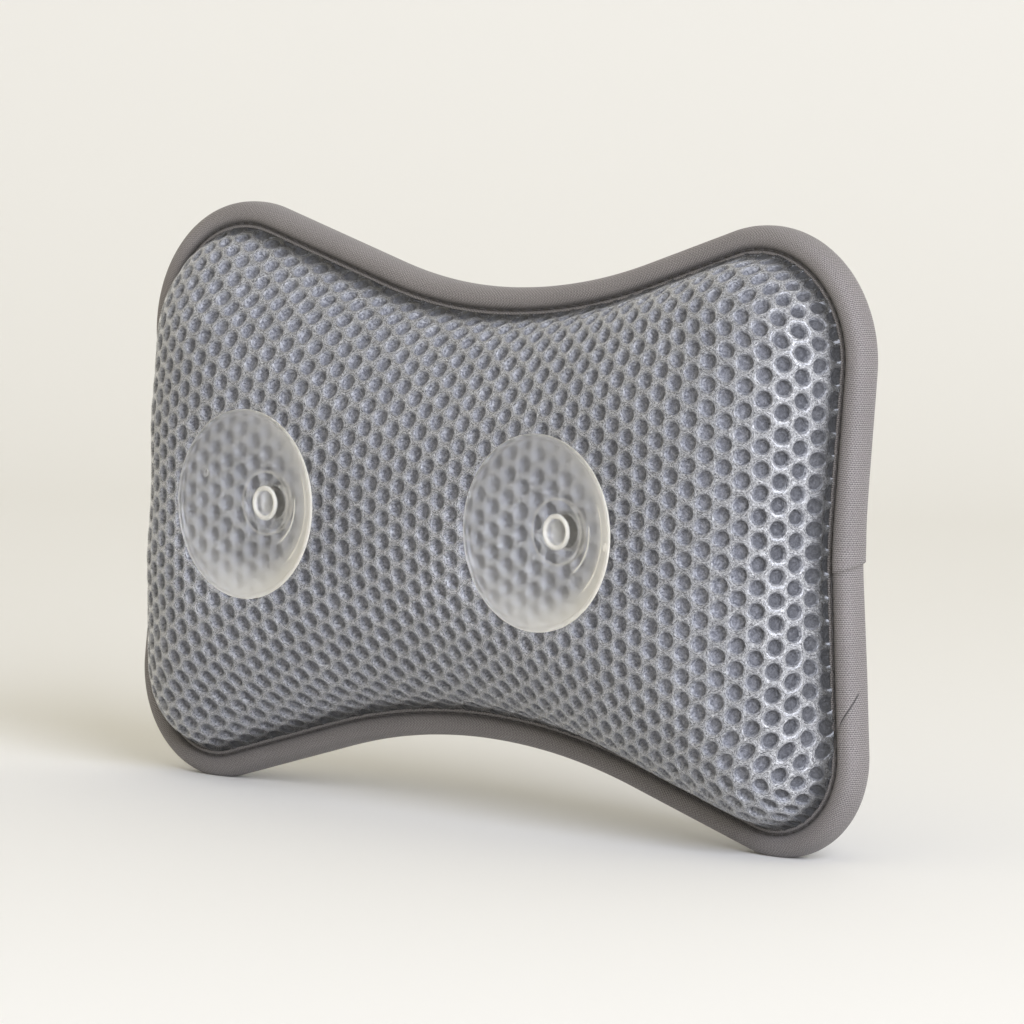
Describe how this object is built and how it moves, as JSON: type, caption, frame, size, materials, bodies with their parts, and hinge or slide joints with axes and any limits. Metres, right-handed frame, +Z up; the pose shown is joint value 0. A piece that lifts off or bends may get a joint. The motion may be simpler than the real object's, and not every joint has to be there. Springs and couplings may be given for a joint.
{
  "type": "bath pillow",
  "caption": "Bone-shaped bath cushion of crowned spacer-mesh panels with a bound edge and clear suction cups on its back for a tub wall.",
  "frame": {"origin": "on the surface that the two lower lobes stand on, under the middle of the whole pillow with its cups", "axes": "+X along the pillow's width, +Z up along its height as it stands, -Y out of the back, the way the suction cups face"},
  "size_m": [0.2998, 0.0842, 0.1874],
  "materials": {
    "mesh": "blue-grey knitted spacer mesh with round holes",
    "binding": "warm grey woven tape",
    "thread": "dark grey sewing thread",
    "filling": "white filling",
    "clear_cup": "clear, slightly milky soft moulding"
  },
  "bodies": {
    "pillow": {"back_cover": "mesh", "front_cover": "mesh", "filling_core": "filling", "edge_binding": "binding", "back_seam_thread": "thread", "front_seam_thread": "thread"},
    "left_washer": {"left_backing_washer": "clear_cup"},
    "left_cup": {"left_suction_cup": "clear_cup"},
    "right_washer": {"right_backing_washer": "clear_cup"},
    "right_cup": {"right_suction_cup": "clear_cup"}
  },
  "joints": [
    {"name": "left_cup_swivel", "type": "hinge", "parent": "pillow", "child": "left_washer", "pos_m": [-0.0615, -0.02562, 0.0935], "axis": [0, -1, 0], "continuous": true},
    {"name": "left_cup_tilt", "type": "hinge", "parent": "left_washer", "child": "left_cup", "pos_m": [-0.0615, -0.02562, 0.0935], "axis": [1, 0, 0], "range_deg": [-8, 8], "stiffness_Nm_per_rad": 0.02},
    {"name": "right_cup_swivel", "type": "hinge", "parent": "pillow", "child": "right_washer", "pos_m": [0.0615, -0.02562, 0.0935], "axis": [0, -1, 0], "continuous": true},
    {"name": "right_cup_tilt", "type": "hinge", "parent": "right_washer", "child": "right_cup", "pos_m": [0.0615, -0.02562, 0.0935], "axis": [1, 0, 0], "range_deg": [-8, 8], "stiffness_Nm_per_rad": 0.02}
  ]
}
